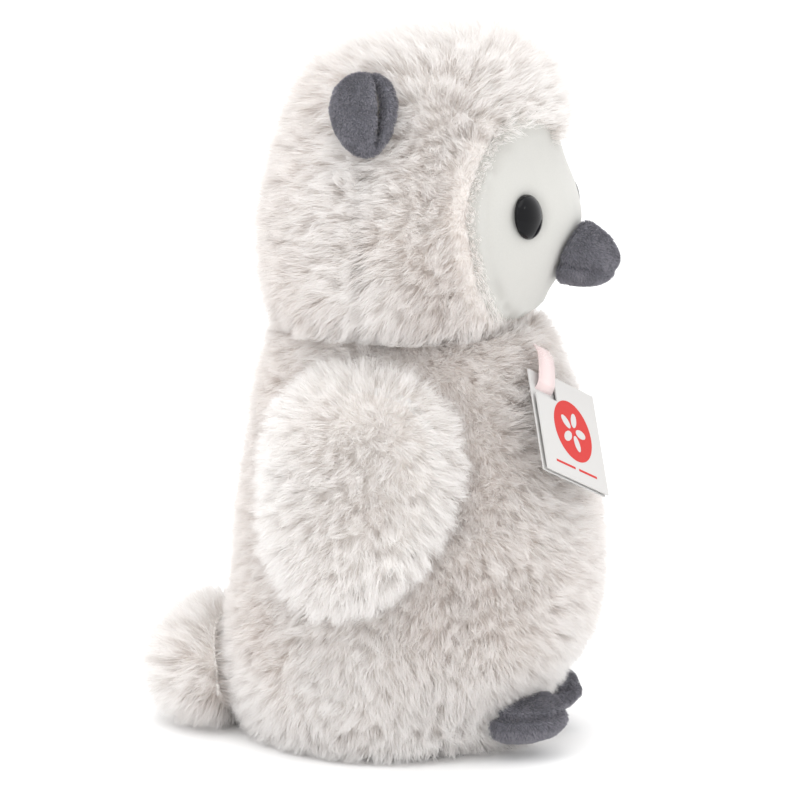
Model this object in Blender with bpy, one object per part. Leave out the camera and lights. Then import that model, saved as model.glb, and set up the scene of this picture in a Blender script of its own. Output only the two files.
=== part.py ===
"""Plush penguin chick, standing: sewn panels, stuffing, safety eyes, wings, feet, tail and a hang tag.

Metres, +Z up. The toy faces -Y, its right side is -X, and it stands on z = 0. Shapes are written around the
body's own axis, x = y = 0, and the whole toy hangs on an empty that puts its box's centre on the origin.
A panel's solid is its backing with the pile that stands on it, up to a little inside the tips of the pile.
"""

import math

import bmesh
import bpy
from mathutils import Matrix, Vector

AXIS_Y = -0.0099  # where the body's axis stands, so that beak and tail reach equally far from the origin

PLUSH = 0.0060  # thickness of a long-pile panel
VELOUR = 0.0034  # thickness of the face's short velour
SHORT_PLUSH = 0.0028  # thickness of the grey plush on beak and feet
EAR_PLUSH = 0.0022
SEAM_GAP = 0.0004  # between two panels that are sewn together
FILL_GAP = 0.0008  # between a panel and the stuffing behind it
HEAD_FILL_GAP = 0.0042  # wider, because the head has an edge at its bottom that both facet differently
CLEARANCE = 0.0010  # between a body or head and what is sewn onto it

# Height, centre y, half width and half depth of the outline at that height.
BODY = (
    (0.0000, 0.0040, 0.0420, 0.0450),
    (0.0100, 0.0095, 0.0500, 0.0500),
    (0.0165, 0.0088, 0.0520, 0.0520),
    (0.0330, 0.0030, 0.0550, 0.0585),
    (0.0560, 0.0000, 0.0560, 0.0590),
    (0.0720, -0.0005, 0.0555, 0.0585),
    (0.0980, 0.0002, 0.0510, 0.0540),
    (0.1200, 0.0010, 0.0450, 0.0490),
    (0.1300, 0.0025, 0.0400, 0.0440),
    (0.1345, 0.0030, 0.0330, 0.0360),
)
HEAD = (
    (0.1350, 0.0025, 0.0440, 0.0440),
    (0.1410, 0.0020, 0.0480, 0.0455),
    (0.1500, -0.0005, 0.0500, 0.0485),
    (0.1600, -0.0027, 0.0508, 0.0509),
    (0.1690, -0.0038, 0.0508, 0.0518),
    (0.1810, -0.0032, 0.0495, 0.0494),
    (0.1920, -0.0025, 0.0470, 0.0455),
    (0.2050, -0.0040, 0.0425, 0.0425),
    (0.2137, -0.0040, 0.0375, 0.0392),
    (0.2205, -0.0060, 0.0300, 0.0320),
    (0.2255, -0.0135, 0.0190, 0.0175),
    (0.2278, -0.0190, 0.0010, 0.0010),
)
BODY_CENTRE = Vector((0, 0.002, 0.062))
HEAD_CENTRE = Vector((0, 0, 0.168))
NECK_RADIUS = 0.026
BODY_FILL_BOTTOM = 0.034
# The pellet bag's height and its width as a share of the body's floor, from its bottom to its top.
BAG = ((0.0085, 0.72), (0.0120, 0.90), (0.0190, 0.96), (0.0260, 0.90), (0.0295, 0.70))

# The face's edge, in degrees: angle round the face from straight up, and spread from straight ahead.
FACE_EDGE = ((0, 28), (33, 44), (80, 50), (145, 44), (180, 36))
FACE_RECESS = 0.0035  # how much lower the velour lies than the pile round it
PILE_RISE = 14  # degrees over which the pile rises from the face's edge
FRINGE_RISE = 3  # the same under the fringe, where it overhangs
EAR_SEAM = 97  # the seam over the head that holds both ears, in degrees from straight ahead
CROWN_HALF = 47  # half the crown panel's angle
BELLY_HALF = 62  # half the belly panel's angle

EYE_TURN, EYE_SPREAD = 81, 32
EYE_SINK = 0.0014  # how far the eye is pulled into the velour
EYE_FORWARD = 16  # how far the eye looks ahead of the velour's own facing, in degrees
SOCKET_GAP, SOCKET_FLOOR = 0.0006, 0.0003
EYE_RADIUS, EYE_DOME, EYE_RIM = 0.0070, 0.0034, 0.0008
SHANK_RADIUS, SHANK_LENGTH = 0.0018, 0.0095
WASHER_RADIUS, WASHER_THICK = 0.0058, 0.0010

WING_CENTRE_Y, WING_CENTRE_Z = 0.0045, 0.0945
WING_HALF_WIDTH, WING_UP, WING_DOWN = 0.0340, 0.0340, 0.0485
WING_TIP_BACK = 0.0075
WING_INNER, WING_OUTER, WING_WADDING = 0.0032, 0.0056, 0.0036
WING_STANDOFF = 0.0014
WING_AXIS_X, WING_AXIS_Z = 0.0430, 0.1290

FOOT_CENTRES = {"right": Vector((-0.0185, -0.0362, 0.0125)), "left": Vector((0.0160, -0.0318, 0.0125))}
FOOT_HALF = (0.0155, 0.0190, 0.0092)
FOOT_SPLAY = 10

TAG_SIDE, TAG_THICK, TAG_FOLD_GAP = 0.0343, 0.0005, 0.0009
TAG_TURN, TAG_LEAN, TAG_ROLL = 12, 25, 26
TAG_ANCHOR = Vector((-0.0105, -0.0428, 0.1290))
TAG_SLOT = Vector((-0.0221, -0.0461, 0.1167))
TAG_SLOT_IN, TAG_SLOT_DOWN = 0.0066, 0.0062
RIBBON_WIDTH, RIBBON_THICK = 0.0086, 0.0004


def smooth(share):
    """0 to 1 with flat ends, for a share from 0 to 1."""
    share = min(max(share, 0.0), 1.0)
    return share * share * (3 - 2 * share)


def along(rows, key):
    """The rows' values at a key, on a smooth curve through the rows."""
    key = min(max(key, rows[0][0]), rows[-1][0])
    i = max(k for k in range(len(rows) - 1) if rows[k][0] <= key)
    before, a, b, after = rows[max(i - 1, 0)], rows[i], rows[i + 1], rows[min(i + 2, len(rows) - 1)]
    span = b[0] - a[0]
    t = (key - a[0]) / span
    values = []
    for k in range(1, len(a)):
        slope_a = (b[k] - before[k]) / (b[0] - before[0]) * span
        slope_b = (after[k] - a[k]) / (after[0] - a[0]) * span
        values.append(
            (2 * t**3 - 3 * t**2 + 1) * a[k]
            + (t**3 - 2 * t**2 + t) * slope_a
            + (3 * t**2 - 2 * t**3) * b[k]
            + (t**3 - t**2) * slope_b
        )
    return values


def outline(rows, z):
    """Centre y, half width and half depth at a height. Squares are blended, so that tops come out round."""
    squared = [(row[0], row[1], row[2] ** 2, row[3] ** 2) for row in rows]
    centre, wide, deep = along(squared, z)
    return centre, math.sqrt(max(wide, 1e-8)), math.sqrt(max(deep, 1e-8))


def body_point(turn, z):
    """A point of the body's outside, turn degrees from the front towards the toy's left."""
    centre, wide, deep = outline(BODY, z)
    angle = math.radians(turn)
    return Vector((wide * math.sin(angle), centre - deep * math.cos(angle), z))


def side_x(y, z):
    """Half the body's width at one place on its side."""
    centre, wide, deep = outline(BODY, z)
    return wide * math.sqrt(max(1 - ((y - centre) / deep) ** 2, 0.05))


def head_point(turn, spread):
    """A point of the head's outside, spread degrees from straight ahead and turned from up."""
    turn, spread = math.radians(turn), math.radians(spread)
    way = Vector((math.sin(spread) * math.sin(turn), -math.cos(spread), math.sin(spread) * math.cos(turn)))
    near, far = 0.0, 0.09
    for _ in range(28):
        middle = (near + far) / 2
        x, y, z = HEAD_CENTRE + way * middle
        inside = HEAD[0][0] < z < HEAD[-1][0]
        if inside:
            centre, wide, deep = outline(HEAD, z)
            inside = (x / wide) ** 2 + ((y - centre) / deep) ** 2 < 1
        near, far = (middle, far) if inside else (near, middle)
    return HEAD_CENTRE + way * near


def head_normal(turn, spread):
    """The way the head's outside faces at a point."""
    near = 3
    across = head_point(turn + near, spread) - head_point(turn - near, spread)
    outwards = head_point(turn, spread + near) - head_point(turn, spread - near)
    normal = across.cross(outwards).normalized()
    return normal if normal.dot(head_point(turn, spread) - HEAD_CENTRE) > 0 else -normal


def face_edge(turn):
    """How far the face spreads at this turn, in degrees."""
    return along(FACE_EDGE, abs(turn))[0]


def pile_depth(turn, spread):
    """How far below the head's outside the pile lies: it dips towards the face's edge."""
    rise = FRINGE_RISE + (PILE_RISE - FRINGE_RISE) * smooth((abs(turn) - 25) / 30)
    return FACE_RECESS * (1 - smooth((spread - face_edge(turn)) / rise))


def deeper(point, centre, depth):
    """The point moved towards the centre."""
    return point + (centre - point).normalized() * depth


def steps(first, last, count):
    return [first + (last - first) * i / count for i in range(count + 1)]


def material(name, colour, roughness):
    made = bpy.data.materials.new(name)
    made.use_nodes = True
    shader = made.node_tree.nodes["Principled BSDF"]
    shader.inputs["Base Color"].default_value = (*colour, 1)
    shader.inputs["Roughness"].default_value = roughness
    shader.inputs["Metallic"].default_value = 0
    return made


def add_object(name, bm, looks, parent):
    """A mesh object made of the bmesh, triangulated, welded and facing outwards."""
    bmesh.ops.remove_doubles(bm, verts=bm.verts, dist=1e-6)
    bmesh.ops.triangulate(bm, faces=bm.faces)
    bmesh.ops.recalc_face_normals(bm, faces=bm.faces)
    mesh = bpy.data.meshes.new(name)
    bm.to_mesh(mesh)
    bm.free()
    mesh.shade_smooth()
    mesh.set_sharp_from_angle(angle=math.radians(40))
    mesh.materials.append(looks)
    obj = bpy.data.objects.new(name, mesh)
    bpy.context.scene.collection.objects.link(obj)
    obj.parent = parent
    # An object's mesh is written in the toy's frame, so its own place undoes its parent's inside the toy.
    obj.location = -parent_place(parent)
    return obj


def parent_place(parent):
    """Where a parent stands inside the toy."""
    place = Vector((0, 0, 0))
    while parent and parent.parent:
        place += parent.location
        parent = parent.parent
    return place


def face_of(bm, *corners):
    """A face of the corners that differ, since a grid's rows meet in one point at a pole."""
    kept = [c for i, c in enumerate(corners) if (c.co - corners[i - 1].co).length > 1e-7]
    if len(kept) > 2:
        bm.faces.new(kept)


def panel(name, surface, us, vs, looks, parent, wrap=False):
    """A sewn panel: surface(u, v) gives its outer and inner point, and its rim joins the two.

    With wrap, u goes all the way round and the panel is a cap or a ring.
    """
    bm = bmesh.new()
    grid = [[[bm.verts.new(p) for p in surface(u, v)] for v in vs] for u in us]
    last = len(us) - 1
    for i in range(last):
        for j in range(len(vs) - 1):
            a, b, c, d = grid[i][j], grid[i + 1][j], grid[i + 1][j + 1], grid[i][j + 1]
            face_of(bm, a[0], b[0], c[0], d[0])
            face_of(bm, d[1], c[1], b[1], a[1])
    for j in (0, len(vs) - 1):
        for i in range(last):
            a, b = grid[i][j], grid[i + 1][j]
            face_of(bm, a[0], a[1], b[1], b[0])
    for i in () if wrap else (0, last):
        for j in range(len(vs) - 1):
            a, b = grid[i][j], grid[i][j + 1]
            face_of(bm, a[0], b[0], b[1], a[1])
    return add_object(name, bm, looks, parent)


def loft(name, rings, looks, parent):
    """A closed solid through rings of points, with its two ends capped."""
    bm = bmesh.new()
    rows = [[bm.verts.new(p) for p in ring] for ring in rings]
    for low, high in zip(rows, rows[1:]):
        for i in range(len(low)):
            face_of(bm, low[i - 1], low[i], high[i], high[i - 1])
    for row in (rows[0], rows[-1]):
        if (row[0].co - row[1].co).length > 1e-7:
            bm.faces.new(row)
    return add_object(name, bm, looks, parent)


def turned(name, profile, looks, parent, place, segments=18):
    """A solid turned round the place's z axis from (radius, height) points."""
    circle = [(math.cos(a), math.sin(a)) for a in steps(0, math.tau, segments)[:-1]]
    rings = [[place @ Vector((r * c, r * s, h)) for c, s in circle] for r, h in profile]
    return loft(name, rings, looks, parent)


def as_cutter(obj):
    obj.hide_render = True
    obj.display_type = "WIRE"
    return obj


def cut(obj, cutter):
    """The cutter taken out of the object."""
    taken = obj.modifiers.new("cut_" + cutter.name, "BOOLEAN")
    taken.operation = "DIFFERENCE"
    taken.object = cutter


def make_body(toy, fur, base_cloth, filling, bag_cloth):
    heights = [0.0, 0.006, 0.013, 0.021, *steps(0.033, 0.123, 7), 0.1300, 0.1345]

    def skin(turn, z):
        outside = body_point(turn, z)
        return outside, deeper(outside, BODY_CENTRE, PLUSH)

    gap = math.degrees(SEAM_GAP / 0.05)
    panel("belly_panel", skin, steps(-BELLY_HALF, BELLY_HALF, 10), heights, fur, toy)
    for side, name in ((-1, "side_panel_right"), (1, "side_panel_left")):
        turns = [side * t for t in steps(BELLY_HALF + gap, 180 - gap / 2, 10)]
        panel(name, skin, turns, heights, fur, toy)

    rounds = steps(-180, 180, 28)[:-1]
    rim = [body_point(t, 0) for t in rounds]
    inner_rim = [deeper(p, BODY_CENTRE, PLUSH) for p in rim]
    shrunk = [[deeper(p, Vector((0, 0.004, p.z)), SEAM_GAP * 1.3) for p in ring] for ring in (rim, inner_rim)]
    loft("base_panel", shrunk, base_cloth, toy)

    def filling_ring(z, turns=rounds):
        return [deeper(body_point(t, z), BODY_CENTRE, PLUSH + FILL_GAP) for t in turns]

    levels = [*steps(BODY_FILL_BOTTOM, 0.123, 6), 0.1300, 0.1345]
    loft("body_stuffing", [filling_ring(z) for z in levels], filling, toy)
    # The bag of pellets is as wide as the body's floor and lies on it, under the stuffing.
    bag = []
    for z, share in BAG:
        centre = Vector((0, 0.006, z))
        bag.append([centre + (Vector((*p.xy, z)) - centre) * share for p in filling_ring(0.012)])
    loft("pellet_bag", bag, bag_cloth, toy)

    clearance = [[deeper(body_point(t, z), BODY_CENTRE, -CLEARANCE) for t in rounds] for z in heights]
    return as_cutter(loft("body_clearance", clearance, fur, toy))


def make_head(toy, fur, velour, filling):
    gap = math.degrees(SEAM_GAP / 0.05)
    neck_place = Matrix.Translation((0, 0.003, 0.12))
    neck = as_cutter(turned("neck_opening", ((NECK_RADIUS, 0), (NECK_RADIUS, 0.03)), fur, toy, neck_place))

    def pile(turn, spread):
        outside = head_point(turn, spread)
        return deeper(outside, HEAD_CENTRE, pile_depth(turn, spread)), deeper(outside, HEAD_CENTRE, PLUSH)

    def pile_from_face(turn, share):
        start = face_edge(turn) + gap
        return pile(turn, start + (EAR_SEAM - gap / 2 - start) * share)

    def velour_point(turn, share):
        outside = head_point(turn, face_edge(turn) * share)
        return deeper(outside, HEAD_CENTRE, FACE_RECESS), deeper(outside, HEAD_CENTRE, FACE_RECESS + VELOUR)

    turns = [-CROWN_HALF, -33, -22, -11, 0, 11, 22, 33, CROWN_HALF]
    panel("crown_panel", pile_from_face, turns, (0, 0.06, 0.2, 0.4, 0.6, 0.8, 1), fur, toy)
    for side, word in ((-1, "right"), (1, "left")):
        turns = [side * t for t in steps(CROWN_HALF + gap, 180 - gap / 2, 13)]
        shares = (0, 0.1, 0.25, 0.45, 0.65, 0.85, 1)
        cheek = panel(f"cheek_panel_{word}", pile_from_face, turns, shares, fur, toy)
        cut(cheek, neck)
        turns = [side * t for t in steps(gap / 2, 180 - gap / 2, 14)]
        spreads = steps(EAR_SEAM + gap / 2, 180, 6)
        back = panel(f"head_back_{word}", pile, turns, spreads, fur, toy)
        cut(back, neck)
    face = panel("face_panel", velour_point, steps(-180, 180, 28), steps(0, 1, 5), velour, toy, wrap=True)

    rounds = steps(-180, 180, 20)[:-1]
    depth = PLUSH + HEAD_FILL_GAP
    rings = [[deeper(head_point(t, s), HEAD_CENTRE, depth) for t in rounds] for s in steps(0, 180, 11)]
    stuffing = loft("head_stuffing", rings, filling, toy)

    def clear_of_pile(turn, spread):
        return deeper(head_point(turn, spread), HEAD_CENTRE, pile_depth(turn, spread) - CLEARANCE)

    outer = [[clear_of_pile(t, s) for t in steps(-180, 180, 44)[:-1]] for s in steps(0, 180, 30)]
    return face, stuffing, as_cutter(loft("head_clearance", outer, fur, toy))


def make_eyes(toy, face, stuffing, gloss, washer_plastic):
    """Domed safety eyes: a shank through the velour and a washer pressed on it from inside."""
    for side, word in ((-1, "right"), (1, "left")):
        seat = deeper(head_point(side * EYE_TURN, EYE_SPREAD), HEAD_CENTRE, FACE_RECESS)
        forward = Matrix.Rotation(math.radians(-side * EYE_FORWARD), 3, "Z")
        outward = forward @ head_normal(side * EYE_TURN, EYE_SPREAD)
        facing = outward.to_track_quat("Z", "Y").to_matrix().to_4x4()
        place = Matrix.Translation(seat - outward * EYE_SINK) @ facing
        arc = steps(0, math.radians(78), 4)
        dome = [(EYE_RADIUS * math.cos(a), EYE_RIM + EYE_DOME * math.sin(a)) for a in arc]
        shank = [(0, -SHANK_LENGTH), (SHANK_RADIUS, -SHANK_LENGTH), (SHANK_RADIUS, 0)]
        profile = [*shank, (EYE_RADIUS - 0.0004, 0), *dome, (0, EYE_RIM + EYE_DOME)]
        turned(f"eye_{word}", profile, gloss, toy, place)
        top = EYE_SINK - VELOUR - 0.0027
        washer = turned(
            f"eye_washer_{word}",
            ((WASHER_RADIUS, top), (WASHER_RADIUS, top - WASHER_THICK)),
            washer_plastic, toy, place,
        )
        bore = SHANK_RADIUS + 0.0003
        hole = turned(f"eye_hole_{word}", ((bore, -0.02), (bore, 0.01)), gloss, toy, place, 16)
        pocket_wide = WASHER_RADIUS + 0.0006
        pocket = turned(
            f"eye_pocket_{word}",
            ((pocket_wide, -SHANK_LENGTH - 0.0006), (pocket_wide, 0.004)),
            gloss, toy, place, 16,
        )
        socket_wide = EYE_RADIUS + SOCKET_GAP
        socket_profile = ((socket_wide, -SOCKET_FLOOR), (socket_wide, 0.008))
        socket = turned(f"eye_socket_{word}", socket_profile, gloss, toy, place, 24)
        cut(washer, as_cutter(hole))
        cut(face, hole)
        cut(face, as_cutter(socket))
        cut(stuffing, as_cutter(pocket))


def egg(centre, half, droop=0.0, flat_at=-1.0, turn=0.0):
    """The outside of a stuffed lobe: (longitude, latitude) to a point. Droop lowers it towards the front."""
    spin = Matrix.Rotation(math.radians(turn), 3, "Z")

    def point(longitude, latitude):
        around, up = math.radians(longitude), math.radians(latitude)
        x, y = half[0] * math.cos(up) * math.sin(around), -half[1] * math.cos(up) * math.cos(around)
        z = half[2] * math.sin(up) - droop * max(-y, 0)
        placed = centre + spin @ Vector((x, y, z))
        return Vector((placed.x, placed.y, max(placed.z, flat_at)))

    return point


def stuffed_lobe(names, point, centre, thickness, split, looks, filling, toy, cutter):
    """Two panels sewn at the split latitude, with stuffing between them, all trimmed by the cutter."""
    upper_name, lower_name, fill_name = names
    gap = 1.6

    def skin(longitude, latitude):
        outside = point(longitude, latitude)
        return outside, deeper(outside, centre, thickness)

    rounds = steps(-180, 180, 18)
    upper = panel(upper_name, skin, rounds, steps(split + gap, 90, 4), looks[0], toy, wrap=True)
    lower = panel(lower_name, skin, rounds, steps(-90, split - gap, 4), looks[1], toy, wrap=True)
    rings = [
        [deeper(point(a, b), centre, thickness + FILL_GAP) for a in rounds[:-1]] for b in steps(-90, 90, 7)
    ]
    fill = loft(fill_name, rings, filling, toy)
    for obj in (upper, lower, fill):
        cut(obj, cutter)


def make_beak(toy, grey, filling, head_clearance):
    centre = Vector((0, -0.0485, 0.1592))
    point = egg(centre, (0.0122, 0.0170, 0.0108), droop=0.22)
    inner_centre = Vector((0, -0.0500, 0.1580))
    names = ("beak_upper", "beak_lower", "beak_stuffing")
    stuffed_lobe(names, point, inner_centre, SHORT_PLUSH, -18, (grey, grey), filling, toy, head_clearance)


def make_tail(toy, fur, filling, body_clearance):
    centre = Vector((0, 0.0620, 0.0195))
    point = egg(centre, (0.0270, 0.0262, 0.0190), flat_at=0.0010)
    names = ("tail_upper", "tail_lower", "tail_stuffing")
    stuffed_lobe(names, point, centre, PLUSH, 0, (fur, fur), filling, toy, body_clearance)


def make_feet(toy, grey, sole_grey, filling, body_clearance):
    for side, word in ((-1, "right"), (1, "left")):
        centre = FOOT_CENTRES[word]
        point = egg(centre, FOOT_HALF, turn=side * FOOT_SPLAY, flat_at=0.0036)
        names = (f"foot_upper_{word}", f"foot_sole_{word}", f"foot_stuffing_{word}")
        stuffed_lobe(names, point, centre, SHORT_PLUSH, 14, (grey, sole_grey), filling, toy, body_clearance)


def make_ears(toy, grey, lining, head_clearance):
    """Small rolled ears of an outer cloth and a lining, each with its slit turned outwards and forwards."""
    for side, word in ((-1, "right"), (1, "left")):
        centre = Vector((side * 0.0430, 0.0045, 0.2035))
        tilt = Matrix.Rotation(math.radians(side * -24), 3, "Y") @ Matrix.Rotation(math.radians(-12), 3, "X")
        slit = side * 46  # turned from straight ahead towards the side

        def skin(longitude, latitude, near, far):
            up = math.radians(latitude)
            around = math.radians(slit + longitude)
            full = 1 + 0.18 * math.sin(up)  # broader at the top than at the tip
            local = Vector(
                (
                    0.0092 * full * math.cos(up) * math.sin(around),
                    -0.0108 * full * math.cos(up) * math.cos(around),
                    0.0138 * math.sin(up),
                )
            )
            length = local.length
            return [centre + tilt @ (local * (1 - depth / length)) for depth in (near, far)]

        def outer(longitude, latitude):
            return skin(longitude, latitude, 0, EAR_PLUSH)

        def inner(longitude, latitude):
            return skin(longitude, latitude, EAR_PLUSH + 0.0003, 2 * EAR_PLUSH + 0.0003)

        for layer, surface, looks in (("outer", outer, grey), ("lining", inner, lining)):
            longitudes = steps(12, 348, 13)
            obj = panel(f"ear_{layer}_{word}", surface, longitudes, steps(-90, 90, 7), looks, toy)
            cut(obj, head_clearance)


def wing_place(side, turn, share, rise):
    """A point of the wing: its turn from up, share of the way out to the edge, and rise above the body."""
    angle = math.radians(turn)
    c, s = math.cos(angle), math.sin(angle)
    tall = WING_UP if c > 0 else WING_DOWN
    power = 2.5 if c > 0 else 2.1
    reach = ((abs(s) / WING_HALF_WIDTH) ** power + (abs(c) / tall) ** power) ** (-1 / power)
    down = max(-c * reach * share, 0) / WING_DOWN
    y = WING_CENTRE_Y + s * reach * share + WING_TIP_BACK * down**1.5
    z = WING_CENTRE_Z + c * reach * share
    return Vector((side * (side_x(y, z) + rise), y, z))


def wing_layer(name, side, low, high, out_to, looks, parent):
    """One layer of a wing: low and high give its two heights above the body at a share of the way out."""
    rounds = steps(0, 360, 22)[:-1]
    shares = [out_to * s for s in (0, 0.4, 0.7, 0.9, 1)]
    bottom = [[wing_place(side, t, s, low(s)) for t in rounds] for s in shares]
    top = [[wing_place(side, t, s, high(s)) for t in rounds] for s in reversed(shares)]
    return loft(name, bottom + top, looks, parent)


def make_wings(toy, fur, filling):
    """Wings that hang from the shoulder seam, each on an empty that stands on the seam's hinge line."""

    def dome(share):
        return math.sqrt(max(1 - share * share, 0))

    def inner_low(share):
        return WING_STANDOFF

    def inner_high(share):
        return WING_STANDOFF + WING_INNER * (0.72 + 0.28 * dome(share))

    def outer_low(share):
        return inner_high(share) + SEAM_GAP + (WING_WADDING + 2 * FILL_GAP) * dome(min(share / 0.9, 1))

    def outer_high(share):
        return outer_low(share) + WING_OUTER * (0.42 + 0.58 * dome(share))

    def wadding_low(share):
        return inner_high(share) + FILL_GAP

    def wadding_high(share):
        return max(outer_low(share) - 2 * FILL_GAP, wadding_low(share) + 0.0003)

    for side, word in ((-1, "right"), (1, "left")):
        hinge = bpy.data.objects.new(f"wing_hinge_{word}", None)
        bpy.context.scene.collection.objects.link(hinge)
        hinge.parent = toy
        hinge.location = (side * WING_AXIS_X, 0, WING_AXIS_Z)
        wing_layer(f"wing_inner_{word}", side, inner_low, inner_high, 0.97, fur, hinge)
        wing_layer(f"wing_outer_{word}", side, outer_low, outer_high, 1, fur, hinge)
        wing_layer(f"wing_wadding_{word}", side, wadding_low, wadding_high, 0.78, filling, hinge)


def box(name, corners, thick, place, looks, parent):
    """A sheet of the corner outline, given in the place's x and y, from z = 0 to its thickness."""
    rings = [[place @ Vector((x, y, z)) for x, y in corners] for z in (0, thick)]
    return loft(name, rings, looks, parent)


def make_tag(toy, card, ribbon_cloth):
    """A folded card on a ribbon. The tag's frame has x to its right, y down and z towards the viewer."""
    swing = bpy.data.objects.new("tag_swing", None)
    bpy.context.scene.collection.objects.link(swing)
    swing.parent = toy
    swing.location = TAG_ANCHOR

    turn, lean, roll = (math.radians(a) for a in (TAG_TURN, TAG_LEAN, TAG_ROLL))
    level = Vector((math.cos(turn), -math.sin(turn), 0))
    facing = Vector((-math.sin(turn), -math.cos(turn), 0))
    slope = Vector((0, 0, -math.cos(lean))) + facing * math.sin(lean)
    right = level * math.cos(roll) + slope * math.sin(roll)
    down = slope * math.cos(roll) - level * math.sin(roll)
    front = facing * math.cos(lean) + Vector((0, 0, math.sin(lean)))
    corner = TAG_SLOT - right * TAG_SLOT_IN - down * TAG_SLOT_DOWN
    axes = Matrix((right, down, front)).transposed().to_4x4()
    place = Matrix.Translation(corner) @ axes

    side = TAG_SIDE
    back = box("tag_back_leaf", ((0, 0), (side, 0), (side, side), (0, side)), TAG_THICK, place, card, swing)
    half = RIBBON_WIDTH / 2 + 0.0005
    slot_low, slot_high = TAG_SLOT_DOWN - 0.0009, TAG_SLOT_DOWN + 0.0009
    slot_left, slot_right = TAG_SLOT_IN - half, TAG_SLOT_IN + half
    slot_corners = (
        (slot_left, slot_low), (slot_right, slot_low), (slot_right, slot_high), (slot_left, slot_high)
    )
    through = place @ Matrix.Translation((0, 0, -0.001))
    cut(back, as_cutter(box("tag_slot", slot_corners, 0.003, through, card, swing)))

    fold = bpy.data.objects.new("tag_fold", None)
    bpy.context.scene.collection.objects.link(fold)
    fold.parent = swing
    fold.location = corner - TAG_ANCHOR
    # The cover leaves the corner under the ribbon free, so that it can open.
    notch_x, notch_y = TAG_SLOT_IN + half + 0.0006, TAG_SLOT_DOWN + 0.0022
    cover = ((0.0003, notch_y), (notch_x, notch_y), (notch_x, 0), (side, 0), (side, side), (0.0003, side))
    lifted = place @ Matrix.Translation((0, 0, TAG_THICK + TAG_FOLD_GAP))
    box("tag_front_leaf", cover, TAG_THICK, lifted, card, fold)

    # The ribbon falls from the neck seam in front of the card and goes in at the slot.
    across = right * (RIBBON_WIDTH / 2)
    middle = [
        TAG_ANCHOR,
        TAG_ANCHOR + Vector((-0.0030, -0.0024, -0.0026)),
        TAG_SLOT + front * 0.0026 - down * 0.0035,
        TAG_SLOT + front * 0.0016 - down * 0.0012,
        TAG_SLOT + front * 0.0003,
    ]
    ribbon = []
    for i, point in enumerate(middle):
        way = (middle[min(i + 1, 4)] - middle[max(i - 1, 0)]).normalized()
        normal = right.cross(way).normalized() * (RIBBON_THICK / 2)
        left, right_edge = point - across, point + across
        ribbon.append([left - normal, right_edge - normal, right_edge + normal, left + normal])
    loft("tag_ribbon", ribbon, ribbon_cloth, swing)


def main():
    for obj in list(bpy.data.objects):
        bpy.data.objects.remove(obj)
    fur = material("long_pile_plush", (0.73, 0.69, 0.66), 0.95)
    base_cloth = material("base_plush", (0.68, 0.64, 0.61), 0.95)
    velour = material("face_velour", (0.80, 0.81, 0.77), 0.9)
    grey = material("grey_plush", (0.13, 0.13, 0.155), 0.9)
    sole_grey = material("grey_sole_plush", (0.17, 0.17, 0.20), 0.9)
    filling = material("polyester_filling", (0.85, 0.85, 0.85), 0.95)
    bag_cloth = material("pellet_bag_cloth", (0.62, 0.60, 0.57), 0.8)
    gloss = material("eye_black", (0.004, 0.004, 0.005), 0.06)
    washer_plastic = material("washer_plastic", (0.6, 0.6, 0.58), 0.4)
    card = material("tag_card", (0.86, 0.86, 0.86), 0.45)
    ribbon_cloth = material("ribbon_sheer", (0.85, 0.68, 0.68), 0.6)

    toy = bpy.data.objects.new("toy", None)
    bpy.context.scene.collection.objects.link(toy)
    toy.location = (0, AXIS_Y, 0)
    body_clearance = make_body(toy, fur, base_cloth, filling, bag_cloth)
    face, stuffing, head_clearance = make_head(toy, fur, velour, filling)
    make_eyes(toy, face, stuffing, gloss, washer_plastic)
    make_beak(toy, grey, filling, head_clearance)
    make_ears(toy, grey, sole_grey, head_clearance)
    make_wings(toy, fur, filling)
    make_tail(toy, fur, filling, body_clearance)
    make_feet(toy, grey, sole_grey, filling, body_clearance)
    make_tag(toy, card, ribbon_cloth)


main()
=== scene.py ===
"""Plush penguin chick as it looks: long pale pile, velour face, short grey plush, domed eyes and a card tag.

Metres, +Z up, the toy faces -Y and its right side is -X. Skins follow the CAD panels a little below their
outside, and the pile is made of strands that stand on the skins.
"""

import math

import bmesh
import bpy
import numpy as np
from mathutils import Matrix, Vector, noise
from mathutils.bvhtree import BVHTree
from mathutils.kdtree import KDTree


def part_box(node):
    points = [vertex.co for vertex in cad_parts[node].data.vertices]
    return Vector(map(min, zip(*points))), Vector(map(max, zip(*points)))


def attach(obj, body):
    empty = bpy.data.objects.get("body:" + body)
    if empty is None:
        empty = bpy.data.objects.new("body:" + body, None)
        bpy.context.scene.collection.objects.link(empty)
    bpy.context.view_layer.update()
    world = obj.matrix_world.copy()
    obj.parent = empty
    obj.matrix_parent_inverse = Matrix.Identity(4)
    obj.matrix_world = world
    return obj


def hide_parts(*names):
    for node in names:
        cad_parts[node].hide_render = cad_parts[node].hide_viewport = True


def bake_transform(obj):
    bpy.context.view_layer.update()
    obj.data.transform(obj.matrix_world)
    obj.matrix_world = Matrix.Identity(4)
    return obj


VIEW_TURN, VIEW_RISE = -74, 10
VIEW_DISTANCE, VIEW_WIDTH = 1.3, 0.256
VIEW_AIM = (0.0017, -0.0034, 0.1078)

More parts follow.
